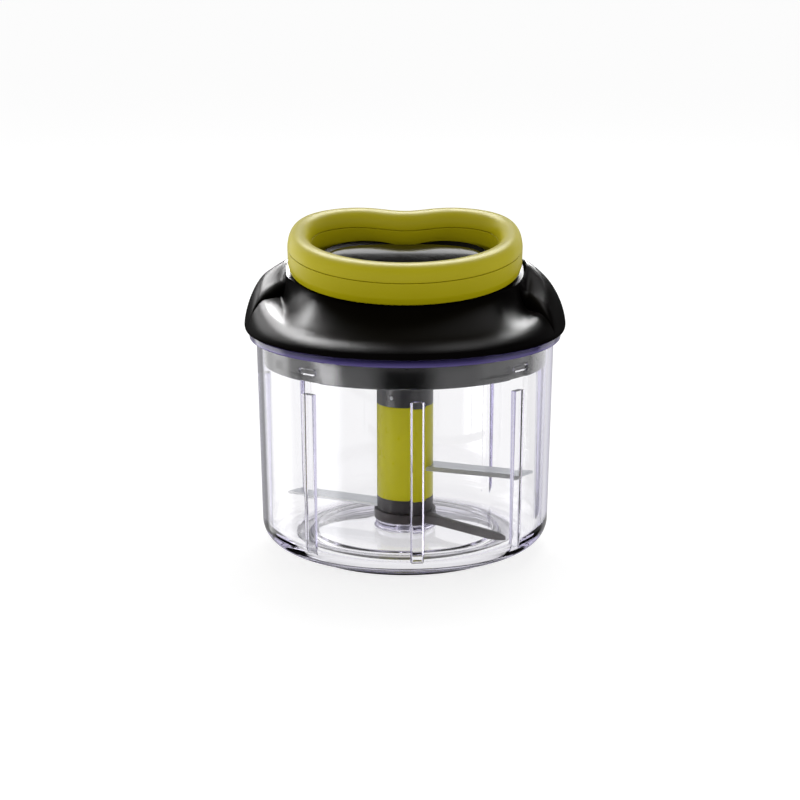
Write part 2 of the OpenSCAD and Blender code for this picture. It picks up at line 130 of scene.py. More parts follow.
def lathe(profile, m=160, wrap=True):
    """Rings of a closed profile [(r, z)] that stays off the axis."""
    th = np.linspace(0, 2 * pi, m, endpoint=False)
    rings = [np.stack([p[0] * np.cos(th), p[0] * np.sin(th), np.full(m, p[1])], 1) for p in profile]
    return skin(rings, wrap=wrap)


def tube(path, r, sides=12):
    """A tube with flat ends along a path of points (mm)."""
    path = np.asarray(path, float)
    t = np.gradient(path, axis=0)
    t /= np.linalg.norm(t, axis=1)[:, None]
    up = np.array([0.31, -0.83, 0.46])
    rings = []
    for p, d in zip(path, t):
        u = np.cross(d, up)
        u /= np.linalg.norm(u)
        v = np.cross(d, u)
        a = np.linspace(0, 2 * pi, sides, endpoint=False)
        rings.append(p + r * (np.cos(a)[:, None] * u + np.sin(a)[:, None] * v))
    return skin(rings, path[0], path[-1])


def sstep(a, b, v):
    t = np.clip((np.asarray(v, float) - a) / (b - a), 0, 1)
    return t * t * (3 - 2 * t)


# ---------------------------------------------------------------- materials
def srgb(r, g, b):
    f = lambda c: c / 12.92 if c <= 0.04045 else ((c + 0.055) / 1.055) ** 2.4
    return (f(r / 255), f(g / 255), f(b / 255), 1.0)


class Mat:
    """A Principled material with noise behind its colour, roughness and bump."""

    def __init__(self, name, rough=0.4, **sockets):
        self.m = bpy.data.materials.new(name)
        self.m.use_nodes = True
        self.nt = self.m.node_tree
        self.p = self.nt.nodes["Principled BSDF"]
        self.p.inputs["Roughness"].default_value = rough
        for k, v in sockets.items():
            self.p.inputs[k.replace("_", " ")].default_value = v
        self.co = self.nt.nodes.new("ShaderNodeTexCoord").outputs["Object"]

    def noise(self, scale, detail=3.0, rough=0.5, stretch=None, turn=0.0):
        co = self.co
        if stretch:
            mp = self.nt.nodes.new("ShaderNodeMapping")
            mp.inputs["Scale"].default_value = stretch
            mp.inputs["Rotation"].default_value = (0, 0, turn)
            mp.vector_type = "TEXTURE" if turn else "POINT"
            if turn:
                mp.inputs["Scale"].default_value = tuple(1.0 / s for s in stretch)
            self.nt.links.new(co, mp.inputs["Vector"])
            co = mp.outputs["Vector"]
        n = self.nt.nodes.new("ShaderNodeTexNoise")
        n.inputs["Scale"].default_value = scale
        n.inputs["Detail"].default_value = detail
        n.inputs["Roughness"].default_value = rough
        self.nt.links.new(co, n.inputs["Vector"])
        return n.outputs["Fac"]

    def range(self, fac, lo, hi, a=0.3, b=0.7):
        r = self.nt.nodes.new("ShaderNodeMapRange")
        r.inputs["From Min"].default_value, r.inputs["From Max"].default_value = a, b
        r.inputs["To Min"].default_value, r.inputs["To Max"].default_value = lo, hi
        self.nt.links.new(fac, r.inputs["Value"])
        return r.outputs["Result"]

    def colour(self, fac, c0, c1, a=0.3, b=0.7):
        r = self.nt.nodes.new("ShaderNodeValToRGB")
        e = r.color_ramp.elements
        e[0].position, e[1].position = a, b
        e[0].color, e[1].color = c0, c1
        self.nt.links.new(fac, r.inputs["Fac"])
        self.nt.links.new(r.outputs["Color"], self.p.inputs["Base Color"])
        return self

    def rough(self, fac, lo, hi):
        self.nt.links.new(self.range(fac, lo, hi), self.p.inputs["Roughness"])
        return self

    def bump(self, fac, strength, dist):
        b = self.nt.nodes.new("ShaderNodeBump")
        b.inputs["Strength"].default_value = strength
        b.inputs["Distance"].default_value = dist
        self.nt.links.new(fac, b.inputs["Height"])
        self.nt.links.new(b.outputs["Normal"], self.p.inputs["Normal"])
        return self


def moulded(name, c0, c1, rlo, rhi, grain=1800.0, strength=0.06, dist=0.00004, **sockets):
    """Moulded plastic: faint flow marks in the colour, fine grain in roughness and bump."""
    k = Mat(name, **sockets)
    k.colour(k.noise(38, 3), c0, c1)
    k.rough(k.noise(260, 4, 0.6), rlo, rhi)
    k.bump(k.noise(grain, 2), strength, dist)
    return k.m


green = moulded("green_satin", srgb(190, 178, 8), srgb(195, 183, 12), 0.36, 0.44, 2600, 0.10, Specular_IOR_Level=0.3)
green_low = moulded("green_satin_lower", srgb(188, 176, 7), srgb(193, 181, 11), 0.38, 0.46, 2600, 0.10, Specular_IOR_Level=0.3)
sleeve_green = moulded("green_gloss_sleeve", srgb(204, 197, 4), srgb(210, 203, 10), 0.26, 0.34, 1500, 0.05, Specular_IOR_Level=0.3)
gloss_black = moulded("gloss_black", srgb(6, 5, 5), srgb(9, 7, 7), 0.12, 0.17, 700, 0.02, 0.00003, Specular_IOR_Level=0.0, Coat_Weight=0.05, Coat_Roughness=0.39)
badge_black = moulded("badge_black", srgb(14, 9, 8), srgb(18, 12, 11), 0.07, 0.10, 700, 0.02, 0.00003, Coat_Weight=0.4, Coat_Roughness=0.03)
skirt_dark = moulded("skirt_charcoal", srgb(11, 11, 13), srgb(14, 14, 16), 0.16, 0.22, 1400, 0.04, Specular_IOR_Level=0.8)
charcoal = moulded("charcoal_plastic", srgb(48, 47, 51), srgb(53, 52, 56), 0.30, 0.38, 1700, 0.09, Specular_IOR_Level=0.7)
collar_dark = moulded("collar_plastic", srgb(54, 49, 51), srgb(60, 55, 57), 0.38, 0.46, 1700, 0.09)
arm_dark = moulded("scraper_plastic", srgb(66, 59, 60), srgb(72, 65, 66), 0.38, 0.46, 1700, 0.09)
natural = moulded("natural_plastic", srgb(222, 220, 210), srgb(230, 228, 219), 0.42, 0.5, 1300, 0.08)
inner_dark = moulded("inner_dark_plastic", srgb(72, 72, 76), srgb(80, 80, 84), 0.42, 0.5, 1300, 0.08)

dark_foot_k = Mat("foot_rubber")
dark_foot_k.colour(dark_foot_k.noise(120, 4), srgb(22, 22, 24), srgb(29, 29, 31))
dark_foot_k.rough(dark_foot_k.noise(500, 4), 0.55, 0.72)
dark_foot_k.bump(dark_foot_k.noise(2400, 3), 0.2, 0.00006)
dark_foot = dark_foot_k.m
foot_k = Mat("foot_translucent", rough=0.3, IOR=1.45, Transmission_Weight=0.92)
foot_k.colour(foot_k.noise(90, 3), (0.86, 0.85, 0.90, 1), (0.92, 0.91, 0.95, 1))
foot_k.rough(foot_k.noise(400, 4), 0.25, 0.36)
foot_k.bump(foot_k.noise(2000, 3), 0.05, 0.00004)
foot_soft = foot_k.m
seal_k = Mat("seal_rubber")
seal_k.colour(seal_k.noise(150, 4), srgb(28, 28, 30), srgb(35, 35, 37))
seal_k.rough(seal_k.noise(500, 4), 0.5, 0.65)
seal_k.bump(seal_k.noise(2600, 3), 0.15, 0.00005)
seal_rubber = seal_k.m


def steel(name, turn, c0, c1, rlo, rhi, metal=1.0):
    """Brushed steel with its brush lines along the local x of the piece."""
    k = Mat(name, Metallic=metal)
    brush = k.noise(900, 3, 0.6, (0.02, 1.0, 1.0), turn)
    k.colour(k.noise(400, 4, 0.6, (0.03, 1.0, 1.0), turn), c0, c1)
    k.rough(brush, rlo, rhi)
    k.bump(brush, 0.06, 0.00003)
    return k.m


pin_steel = steel("turned_steel", 0.0, srgb(196, 197, 200), srgb(208, 209, 212), 0.2, 0.3)
spring_steel = steel("spring_steel", 0.0, srgb(120, 124, 132), srgb(140, 144, 152), 0.28, 0.38)
blade_up_steel = steel("blade_steel_up", radians(-20), srgb(196, 199, 204), srgb(206, 209, 213), 0.26, 0.36)
blade_low_steel = steel("blade_steel_low", radians(155), srgb(196, 199, 204), srgb(206, 209, 213), 0.26, 0.36)
# near-white and hardly metal: the ground edge's finish with a painted highlight on it; on the blade spines it is a
# painted highlight only
edge_spine_highlight_up = steel("ground_edge_spine_highlight_up", radians(-20 + 90), srgb(243, 244, 246), srgb(252, 252, 253), 0.3, 0.4, 0.1)
edge_spine_highlight_low = steel("ground_edge_spine_highlight_low", radians(155 + 90), srgb(243, 244, 246), srgb(252, 252, 253), 0.3, 0.4, 0.1)
# pale and hardly metal: the pin end's steel with a painted glint on it
pin_end_glint_steel = steel("pin_end_steel_glint", 0.0, srgb(222, 223, 226), srgb(234, 235, 238), 0.3, 0.4, 0.2)

cord_k = Mat("braided_cord")
cord_k.colour(cord_k.noise(2600, 2), srgb(206, 204, 196), srgb(232, 230, 224))
cord_k.rough(cord_k.noise(3000, 2), 0.75, 0.9)
cord_k.bump(cord_k.noise(3200, 2), 0.5, 0.0001)
cord_mat = cord_k.m

# clear bowl: tinted a little along its ribs and rim, and by depth
clear_k = Mat("clear_plastic", rough=0.0, IOR=1.5, Transmission_Weight=1.0)
at = clear_k.nt.nodes.new("ShaderNodeAttribute")
at.attribute_name = "tint"
clear_k.colour(at.outputs["Fac"], (1, 1, 1, 1), (0.34, 0.30, 0.62, 1), 0.0, 1.0)
facing = clear_k.nt.nodes.new("ShaderNodeLayerWeight")  # where the plastic turns edge on it goes deep violet-grey: partly its tint over the longer path, partly painted shade for the dark edge lines
facing.inputs["Blend"].default_value = 0.5
edge_shade_ramp = clear_k.nt.nodes.new("ShaderNodeValToRGB")
er = edge_shade_ramp.color_ramp.elements
er[0].position, er[1].position = 0.68, 1.0
er[0].color, er[1].color = (1, 1, 1, 1), (0.12, 0.11, 0.28, 1)
er.new(0.87).color = (0.62, 0.60, 0.82, 1)
clear_k.nt.links.new(facing.outputs["Facing"], edge_shade_ramp.inputs["Fac"])
both = clear_k.nt.nodes.new("ShaderNodeMix")
both.data_type, both.blend_type = "RGBA", "MULTIPLY"
both.inputs[0].default_value = 1.0
base_in = clear_k.p.inputs["Base Color"]
clear_k.nt.links.new(base_in.links[0].from_socket, both.inputs[6])
clear_k.nt.links.new(edge_shade_ramp.outputs["Color"], both.inputs[7])
clear_k.nt.links.new(both.outputs[2], base_in)
clear_k.rough(clear_k.noise(60, 3), 0.0, 0.012)
clear_k.bump(clear_k.noise(45, 2), 0.012, 0.0004)
ab = clear_k.nt.nodes.new("ShaderNodeVolumeAbsorption")
ab.inputs["Color"].default_value = (0.40, 0.30, 0.72, 1)
ab.inputs["Density"].default_value = 9.0
clear_k.nt.links.new(ab.outputs["Volume"], clear_k.nt.nodes["Material Output"].inputs["Volume"])
clear = clear_k.m
rim_k = Mat("rim_violet", rough=0.1, IOR=1.5, Transmission_Weight=0.45)
at = rim_k.nt.nodes.new("ShaderNodeAttribute")
at.attribute_name = "tint"
rim_k.colour(at.outputs["Fac"], srgb(44, 37, 88), srgb(116, 104, 172), 0.0, 1.0)
rim_k.rough(rim_k.noise(160, 3), 0.08, 0.14)
rim_k.bump(rim_k.noise(60, 2), 0.02, 0.0003)
rim_violet = rim_k.m

# ---------------------------------------------------------------- bowl
RIB_N, RIB_A, RIB_TOP, RIB_R = 8, 4.8, 77.7, 57.9
LUG_A, LUG_Z, LUG_R = 50.0, 87.2, 59.6


def bowl_columns():
    out = set()
    s_rib = [0, 0.6, 1.2, 1.75, 1.95, 2.1, 2.2, 2.28, 2.33, 2.36, 2.41, 2.47, 2.56, 2.75, 3.2]
    taken = []
    for i in range(RIB_N):
        c = RIB_A - 90 + i * 45
        for s in s_rib:
            for sg in (-1, 1):
                out.add(round((c + sg * np.degrees(s / 58.0)) % 360, 5))
        taken.append((c % 360, 3.4))
    for i in range(4):
        c = LUG_A - 90 + 90 * i
        for s in np.arange(-4.75, 4.76, 0.25):
            out.add(round((c + np.degrees(s / 60.0)) % 360, 5))
        taken.append((c % 360, 4.7))
    for a in np.arange(0, 360, 1.8):
        if all(abs((a - c + 180) % 360 - 180) > w for c, w in taken):
            out.add(round(float(a), 5))
    return np.radians(np.array(sorted(out)))


def bowl_piece():
    th = bowl_columns()
    under = rounded([(0, 6.2), (38.5, 6.2), (40, 3.2), (41.3, 3.2), (41.3, 4.2), (47.2, 4.2), (47.2, 3.2), (52, 3.2)],
                    [0, 1.2, 0.5, 0.2, 0.1, 0.1, 0.2, 0], 4, closed=False)
    corner = [(52 + 10 * sin(a), 13.2 - 10 * cos(a)) for a in np.linspace(0, pi / 2, 25)[1:]]
    wall = [(62 + 1.5 * t, 13.2 + 78.2 * t) for t in np.linspace(0, 1, 30)[1:]]
    flange = rounded([wall[-1], (63.54, 93), (66.5, 93), (66.5, 96), (61.2, 96), (61.17, 94.5)],
                     [0, 0.7, 0.6, 0.7, 0.5, 0], 6, closed=False)[1:]
    zi = sorted(set(np.round(np.concatenate([
        np.arange(15, 77, 2.5), [76.4, 76.9, 77.2, 77.35, 77.5, 77.6, 77.66, 77.7, 77.73, 78.2, 79.5],
        np.arange(81, 85.5, 1.5), np.arange(85.6, 88.85, 0.2), np.arange(89.5, 94.4, 1.2)]), 3)), reverse=True)
    inner = [(59.7 + 1.5 * (z - 15) / 81, z) for z in zi]
    low = [(51.5 + 8.2 * cos(a), 15 - 8.2 * sin(a)) for a in np.linspace(0, pi / 2, 25)[1:]]
    floor_ = rounded([low[-1], (41.3, 6.8), (40, 8.8), (12.8, 8.8), (12.8, 11.8), (3.1, 11.8), (3.1, 7.1)],
                     [0, 0.8, 0.8, 0.8, 0.5, 0.2, 0], 5, closed=False)[1:]
    prof = [(p[0], p[1], 0) for p in under[1:] + corner + wall + flange]
    prof += [(p[0], p[1], 1) for p in inner + low] + [(p[0], p[1], 0) for p in floor_]
    # extra rows on wide flats keep the quads short
    rows = [prof[0]]
    for q in prof[1:]:
        p = rows[-1]
        d = sqrt((q[0] - p[0]) ** 2 + (q[1] - p[1]) ** 2)
        k = int(d // 6)
        for i in range(1, k + 1):
            rows.append((p[0] + (q[0] - p[0]) * i / (k + 1), p[1] + (q[1] - p[1]) * i / (k + 1), p[2] and q[2]))
        rows.append(q)
    rib_d = np.min([np.abs((np.degrees(th) - (RIB_A - 90 + 45 * i) + 180) % 360 - 180) for i in range(RIB_N)], 0)
    s_rib = np.radians(rib_d) * 58.0
    lug_d = np.min([np.abs((np.degrees(th) - (LUG_A - 90 + 90 * i) + 180) % 360 - 180) for i in range(4)], 0)
    s_lug = np.radians(lug_d) * 60.0
    rings, tints = [], []
    for r, z, ins in rows:
        rr = np.full(len(th), float(r))
        tint = np.zeros(len(th))
        if ins:
            h = max(0.0, r - RIB_R)
            if z > RIB_TOP:
                h = 0.0
            elif z > RIB_TOP - 0.5:
                h = max(0.0, h - 0.5 + sqrt(max(0.0, 0.25 - (z - RIB_TOP + 0.5) ** 2)))
            if h > 0:
                e = min(0.6, h)
                prof_h = np.where(s_rib <= 1.75, h, np.where(
                    s_rib <= 2.355, h - e + np.sqrt(np.clip(e * e - (np.clip(s_rib - 1.75, 0, 0.6) * e / 0.6) ** 2, 0, None)),
                    np.where(s_rib <= 2.765, min(0.3, h) * np.clip(1 - (s_rib - 2.405) / 0.36, 0, 1) ** 2, 0)))
                rr -= prof_h
                tint = np.maximum(tint, 0.55 * sstep(1.9, 2.25, s_rib) * (1 - sstep(2.45, 2.8, s_rib)) * min(1, h))
                if z > RIB_TOP - 0.4:
                    tint = np.maximum(tint, np.where(s_rib < 2.4, 0.9, 0))
            if abs(z - LUG_Z) < 2:
                d = np.hypot(np.clip(s_lug - 3.1, 0, None), z - LUG_Z) - 1.25
                rr -= max(0.0, r - LUG_R) * (1 - sstep(-0.4, 0.12, d))
                tint = np.maximum(tint, 0.5 * np.exp(-(d / 0.35) ** 2))
        elif r > 63.8 and z > 92.6:
            tint[:] = 1 - sstep(93.2, 95.2, z)
        rings.append(np.stack([rr * np.cos(th), rr * np.sin(th), np.full(len(th), z)], 1))
        tints.append(tint)
    v, f = skin(rings, (0, 0, 6.2), (0, 0, 7.1))
    ob = add_piece("bowl_clear", v, f, [clear, rim_violet], "bowl", ["bowl"], 40, np.concatenate(tints + [[0, 0]]))
    co = np.array([x.co for x in ob.data.vertices]) * 1000
    on_rim = (co[:, 2] > 92.9) & (np.hypot(co[:, 0], co[:, 1]) > 64.2)
    for poly in ob.data.polygons:
        if all(on_rim[i] for i in poly.vertices):
            poly.material_index = 1
    return ob


bowl_piece()
v, f = lathe(rounded([(41.5, 0), (47, 0), (47, 4.1), (41.5, 4.1)], [0.7, 0.9, 0.3, 0.3], 5), 192)
foot = add_piece("base_ring_foot", v, f, [foot_soft, dark_foot], "bowl", ["base_ring"])
for poly in foot.data.polygons:  # only the outer wall and its lower edge are dark: a dark line along the foot of the bowl
    if all(np.hypot(*foot.data.vertices[i].co[:2]) > 0.0460 for i in poly.vertices):
        poly.material_index = 1

# ---------------------------------------------------------------- handle and lid shapes, as in the CAD source
TILT = radians(13.8)
SEAT_Y, SEAT_Z, RING_Y, RING_DENT = -35.0, 111.4, 4.0, 5.0
LID_R, LID_Z, Z_RIM, COVER_T = 68.5, 96.3, 98.8, 2.3


def seat(p):
    """Seat frame (x, along the slope, off the seat) to the row frame."""
    p = np.asarray(p, float)
    y = SEAT_Y + p[..., 1] * cos(TILT) - p[..., 2] * sin(TILT)
    z = SEAT_Z + p[..., 1] * sin(TILT) + p[..., 2] * cos(TILT)
    return np.stack([p[..., 0], y, z], -1)


def seat_w(y):
    return (y - SEAT_Y) / cos(TILT)


def seat_plane(y):
    return SEAT_Z + (y - SEAT_Y) * tan(TILT)


def ring_xy(a):
    a = np.asarray(a, float)
    n = np.where(np.sin(a) < 0, 2.0, 3.0)
    b = np.where(np.sin(a) < 0, 33.5, 26.0)
    r = ((np.abs(np.cos(a)) / 45) ** n + (np.abs(np.sin(a)) / b) ** n) ** (-1 / n)
    x, y = r * np.cos(a), r * np.sin(a)
    return np.stack([x, RING_Y + y - np.where(y > 0, RING_DENT * np.exp(-((x / 14) ** 2)), 0)], -1)


def ring_side(a):
    d = ring_xy(a + radians(1)) - ring_xy(a - radians(1))
    t = np.stack([d[..., 0], d[..., 1] / cos(TILT)], -1)
    t /= np.linalg.norm(t, axis=-1)[..., None]
    return np.stack([t[..., 1], -t[..., 0]], -1)


def ring_sweep(section, m=288):
    a = np.linspace(0, 2 * pi, m, endpoint=False)
    c, n = ring_xy(a), ring_side(a)
    rings = [seat(np.stack([c[:, 0] + s * n[:, 0], seat_w(c[:, 1]) + s * n[:, 1], np.full(m, h)], -1)) for s, h in section]
    return skin(rings, wrap=True)


# handle: two shells with a parting line
arc_top = [(5 * cos(t), 10.5 + 6.9 * sin(t)) for t in np.linspace(0.02, pi - 0.02, 49)]
sec_top = arc_top + [(-4.85, 10.5), (-3.9, 10.5), (-3.9, 10.25), (3.9, 10.25), (3.9, 10.5), (4.85, 10.5)]
v, f = ring_sweep(sec_top)
add_piece("handle_upper_shell", v, f, green, "handle", ["handle_top"], 40)
sec_low = rounded([(5, 10.2), (-5, 10.2), (-4.93, 3.2), (-4.0, 0), (4.0, 0), (4.93, 3.2)], [0.16, 0.16, 4, 1.1, 1.1, 4], 6)
v, f = ring_sweep(sec_low)
add_piece("handle_lower_shell", v, f, green_low, "handle", ["handle_bottom"], 40)


CREASE_L, CREASE_R = 195.0, 335.0  # degrees at which the two creases of the lid meet its rim


def turn_from(a, c):
    return (np.degrees(a) - c + 180) % 360 - 180


def neck_a(a):
    """Angle at the neck of the line that starts at angle a on the rim: the creases lean back."""
    return a + np.radians(-11 * np.exp(-((turn_from(a, CREASE_L) / 38) ** 2)) + 10 * np.exp(-((turn_from(a, CREASE_R) / 38) ** 2)))


def neck_xy(a):
    f = turn_from(a, 90)
    out = 3.5 + 2.3 * (1 - sstep(96, 110, f)) * sstep(-121, -107, f)
    return ring_xy(a) + out[:, None] * np.stack([np.cos(a), np.sin(a)], -1)


def well_xy(a):
    return ring_xy(a) - (6 + 1.6 * sstep(0.1, 0.5, np.sin(a)))[:, None] * np.stack([np.cos(a), np.sin(a)], -1)


def ledge_z(y):
    return seat_plane(y) - 0.8


def dome_z(r):
    return Z_RIM + 31.56 * np.clip(1 - (r / LID_R) ** 4.31, 0, None) ** 0.6214


def flank(a, s, lag=0.0):
    """The flank of the lid at share s of the way from rim to neck: a dome behind the creases, a flared apron in front."""
    n = neck_xy(neck_a(a))
    at = lambda q: (LID_R * np.cos(a) * (1 - q) + n[:, 0] * q, LID_R * np.sin(a) * (1 - q) + n[:, 1] * q)
    x, y = at(s)
    zn = ledge_z(n[:, 1])
    zd = dome_z(np.hypot(*at(min(s, 0.93))))
    if s > 0.93:  # the lip rounds over and drops to the seat
        u = (1 - s) / 0.07
        zd = zn + (zd - zn) * sqrt(max(0.0, 1 - (1 - u) ** 2))
    run = np.hypot(LID_R * np.cos(a) - n[:, 0], LID_R * np.sin(a) - n[:, 1])
    zs = np.minimum(Z_RIM + 2.7 + 20.3 * np.exp(3.364 * np.sin(a)), zn - 1)
    front = sstep(0.3, 0.75, -np.sin(a))
    e = np.clip(1 - s * run / 11, 0, None)
    d = np.clip(1 - (1 - s) * run / (4 + 20 * front), 0, None)
    rise = (1 - np.sqrt(1 - d ** 2)) * (1 - front) + d ** 1.7 * front
    zf = Z_RIM + (zs - Z_RIM) * (1 - e ** 1.8) ** 0.75 + (zn - zs) * rise
    f = turn_from(a, 90)
    t = np.clip(np.minimum(CREASE_L - 90 - lag - f, f + 450 - CREASE_R - lag), 0, None)
    w = 0.33 * np.sqrt(1 - (1 - np.clip(t / 4, 0, 1)) ** 2) + 0.67 * sstep(0, 30, t)
    return np.stack([x, y, zf + (zd - zf) * w], -1)


def lid_columns():
    """Angles round the lid, close together beside the creases."""
    near = [0, 0.03, 0.08, 0.15, 0.25, 0.38, 0.55, 0.8, 1.1, 1.5, 2.0, 2.5, 3.1, 3.7, 4.3, 4.9, 5.5, 6.3, 7.2]
    out = set()
    for c, back in ((CREASE_L, -1), (CREASE_R, 1)):
        for k in near:
            out.add(round((c + back * k) % 360, 4))
            if k in (0.25, 0.55, 1.1, 2.0, 3.1, 4.3, 5.5):
                out.add(round((c - back * k) % 360, 4))
    for k in np.arange(0, 360, 1.125):
        if abs((k - CREASE_L + 180) % 360 - 180) > 6.2 and abs((k - CREASE_R + 180) % 360 - 180) > 6.2:
            out.add(round(float(k), 4))
    return np.radians(np.array(sorted(out)))


def lid_piece():
    a = lid_columns()
    m = len(a)
    outer, inner = [], []
    for u in np.linspace(1, 0, 9):
        r = LID_R - 1.2 * (1 - sqrt(max(0.0, 1 - u * u)))
        outer.append(np.stack([r * np.cos(a), r * np.sin(a), np.full(m, Z_RIM - 2.5 * u)], -1))
    for ring in outer[::4]:
        inner.append(np.concatenate([ring[:, :2] * (65.8 / np.hypot(ring[:, 0], ring[:, 1]))[:, None], ring[:, 2:]], 1))
    na = neck_a(a)
    n, w = neck_xy(na), well_xy(na)
    for i, s in enumerate(0.5 - 0.5 * np.cos(np.linspace(0, pi, 81)[1:])):
        outer.append(flank(a, float(s)))
        if i % 4 == 3:
            p = flank(a, float(s), 6.0)
            inner.append(np.concatenate([p[:, :2] * (65.7 / LID_R), np.maximum(np.minimum(p[:, 2:], ledge_z(n[:, 1:])) - COVER_T, LID_Z + 2.3)], 1))
    top_rows = []
    for t in (0.3, 0.6, 0.9, 1.0):
        p = n * (1 - t) + w * t
        top_rows.append(np.stack([p[:, 0], p[:, 1], ledge_z(p[:, 1])], -1))
    for x in (0.02, 0.08, 0.18, 0.3, 0.45, 0.6, 0.75, 0.9, 1.0, 1.3, 2.2, 3.4, 4.6, 5.8, 7.0):
        k = 1 - 0.12 * x
        e = -0.8 + 6.1 * (1 - max(0.0, 1 - x) ** 1.84)
        p = w * k
        top_rows.append(np.stack([p[:, 0], p[:, 1], seat_plane(p[:, 1]) + e], -1))
    for i, ring in enumerate(top_rows):
        outer.append(ring)
        if i % 3 == 0:
            inner.append(np.concatenate([ring[:, :2] * (65.7 / LID_R), ring[:, 2:] - COVER_T], 1))
    top = seat_plane(0) + 5.3
    v, f = skin(inner[::-1] + outer, (0, 0, top - COVER_T), (0, 0, top))
    return add_piece("lid_cover_shell", v, f, gloss_black, "lid", ["lid_cover"], 50)


lid_piece()


def badge_piece():
    m = 200
    t = np.linspace(0, 2 * pi, m, endpoint=False)
    rows = [(0.985, 0.0), (1.0, 0.07), (1.0, 0.6), (0.997, 0.75), (0.988, 0.86), (0.974, 0.92), (0.955, 0.955), (0.93, 0.975),
            (0.88, 0.99), (0.8, 1.0), (0.65, 1.0), (0.45, 1.0), (0.2, 1.0)]
    q = (np.abs(np.cos(t)) ** 3 + np.abs(np.sin(t)) ** 3) ** (-1 / 3)
    crown = lambda y: 1.95 - 0.03 * (16.4 - y) - 0.0012 * (np.minimum(16.4 - y, 24)) ** 2
    rings = [seat(np.stack([34 * k * q * np.cos(t), seat_w(-2.2) + 16.4 * k * q * np.sin(t), 5.25 + h * crown(16.4 * k * q * np.sin(t))], -1)) for k, h in rows]
    v, f = skin(rings, seat([0, seat_w(-2.2), 5.25]), seat([0, seat_w(-2.2), 5.25 + float(crown(0.0))]))
    return add_piece("badge_crown", v, f, badge_black, "lid", ["badge_plate"], 50)


badge_piece()

# pull cord between the eyelet and the handle, short as at rest
hs = np.linspace(-2.6, 3.6, 72)
v, f = tube(seat(np.stack([np.full(72, 45.0), np.full(72, seat_w(RING_Y)), hs], -1)), 0.8, 14)
pull = add_piece("pull_cord", v, f, cord_mat, None, sharp=60)
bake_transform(pull)

# cord on the drum, as turns side by side
t = np.linspace(0, 2 * pi * 3.0, 3 * 90)
v, f = tube(np.stack([27.6 * np.cos(t), 27.6 * np.sin(t), 96.0 + 1.66 * t / (2 * pi) * 0.999], -1), 0.8, 10)
add_piece("cord_turns", v, f, cord_mat, "drum", ["cord_winding"], 60)

# ---------------------------------------------------------------- blade unit
v, f = lathe(rounded([(9.03, 22.32), (12.2, 22.32), (12.2, 63.58), (9.03, 63.58)], [0.1, 0.25, 0.25, 0.1], 4), 160)
add_piece("sleeve_body", v, f, sleeve_green, "blade", ["blade_sleeve"])


def turned(p, deg):
    a = radians(deg)
    p = np.asarray(p, float)
    return np.stack([p[..., 0] * cos(a) - p[..., 1] * sin(a), p[..., 0] * sin(a) + p[..., 1] * cos(a), p[..., 2]], -1)


def blade_piece(name, node, z, deg, mats):
    """A plate with a ground edge on its leading side and fine broken edges."""
    end = lambda y: 51.4 + (y + 6.5) * 4.4 / 11.9
    spine = lambda x: 6.5 - 1.1 * (x - 10.2) / 45.6
    xs = np.concatenate([[0, 0.03], np.linspace(0.08, 0.95, 24), [0.985, 1.0]])
    rings = []
    for i, t in enumerate(xs):
        k = 0.06 if i == 0 else (0.12 if i == len(xs) - 1 else 0.0)  # the ends are broken a little too
        pt = lambda y, h: (10.2 + (end(min(y, 5.4)) - 10.2) * t, min(y, spine(10.2 + (end(min(y, 5.4)) - 10.2) * t)), z + h)
        rings.append([pt(-6.5, 0.10), pt(-6.44, 0.02 + k), pt(-6.2, 0.0 + k), pt(6.4, 0.0 + k), pt(6.5, 0.1 + k), pt(6.5, 1.1 - k), pt(6.4, 1.2 - k),
                      pt(-3.7, 1.2 - k), pt(-3.85, 1.15 - k), pt(-6.44, 0.2)])
    n = len(rings[0])
    for r in rings:  # the spine edge keeps its bevel along the taper
        ys = r[5][1]
        r[3] = (r[3][0], ys - 0.1, r[3][2])
        r[6] = (r[6][0], ys - 0.1, r[6][2])
    rings = [turned(np.array(r), deg) for r in rings]
    v, f = skin(rings)
    m = len(rings)
    f.append(tuple(range(n)))
    f.append(tuple(reversed(range((m - 1) * n, m * n))))
    ob = add_piece(name, v, f, mats, "blade", [node], 12)
    # the ground edge and the spine faces take the second material: a painted highlight along the spine, partly along
    # the edge
    for poly in ob.data.polygons:
        e = [i % n for i in poly.vertices]
        if len(poly.vertices) == 4 and (set(e) <= {7, 8, 9, 0} and set(e) != {7, 8} or set(e) <= {4, 5, 6}):
            poly.material_index = 1
    return ob


blade_piece("upper_blade_ground", "upper_blade", 35.4, -20, [blade_up_steel, edge_spine_highlight_up])
blade_piece("lower_blade_ground", "lower_blade", 17.0, 155, [blade_low_steel, edge_spine_highlight_low])


def scraper_piece():
    v, f = lathe(rounded([(11.25, 12.12), (13.4, 12.12), (13.4, 16.48), (11.25, 16.48)], [0.2, 0.5, 0.5, 0.2], 4), 128)
    ring = add_piece("scraper_ring", v, f, arm_dark, "blade", ["scraper_arm"])
    st = [(11.6, 0, 3.6, 2.7, 12.5, 16.1), (13.6, 0, 3.5, 2.6, 12.5, 16.3), (16, 0, 3.1, 2.2, 12.5, 16.3), (18.5, 0, 2.5, 1.6, 12.5, 16.2), (21, 0, 2.0, 1.2, 12.5, 16.0),
          (30, 0, 1.97, 1.2, 12.5, 15.9), (42, 0, 1.93, 1.2, 12.5, 15.8), (50, 0, 1.9, 1.15, 12.5, 15.7), (52, 0.35, 1.55, 0.95, 12.5, 15.4), (54, 0.85, 1.0, 0.6, 12.5, 14.9),
          (55.4, 1.25, 0.42, 0.25, 12.6, 14.4)]
    rings = []
    for x, c, b, t, z0, z1 in st:
        sec = rounded([(c - b, z0), (c + b, z0), (c + t, z1), (c - t, z1)], [0.25, 0.25, 0.35, 0.35], 3)
        rings.append(turned(np.array([(x, p[0], p[1]) for p in sec]), -43))
    v, f = skin(rings, rings[0].mean(0), rings[-1].mean(0))
    add_piece("scraper_bar", v, f, arm_dark, "blade")
    return ring


scraper_piece()

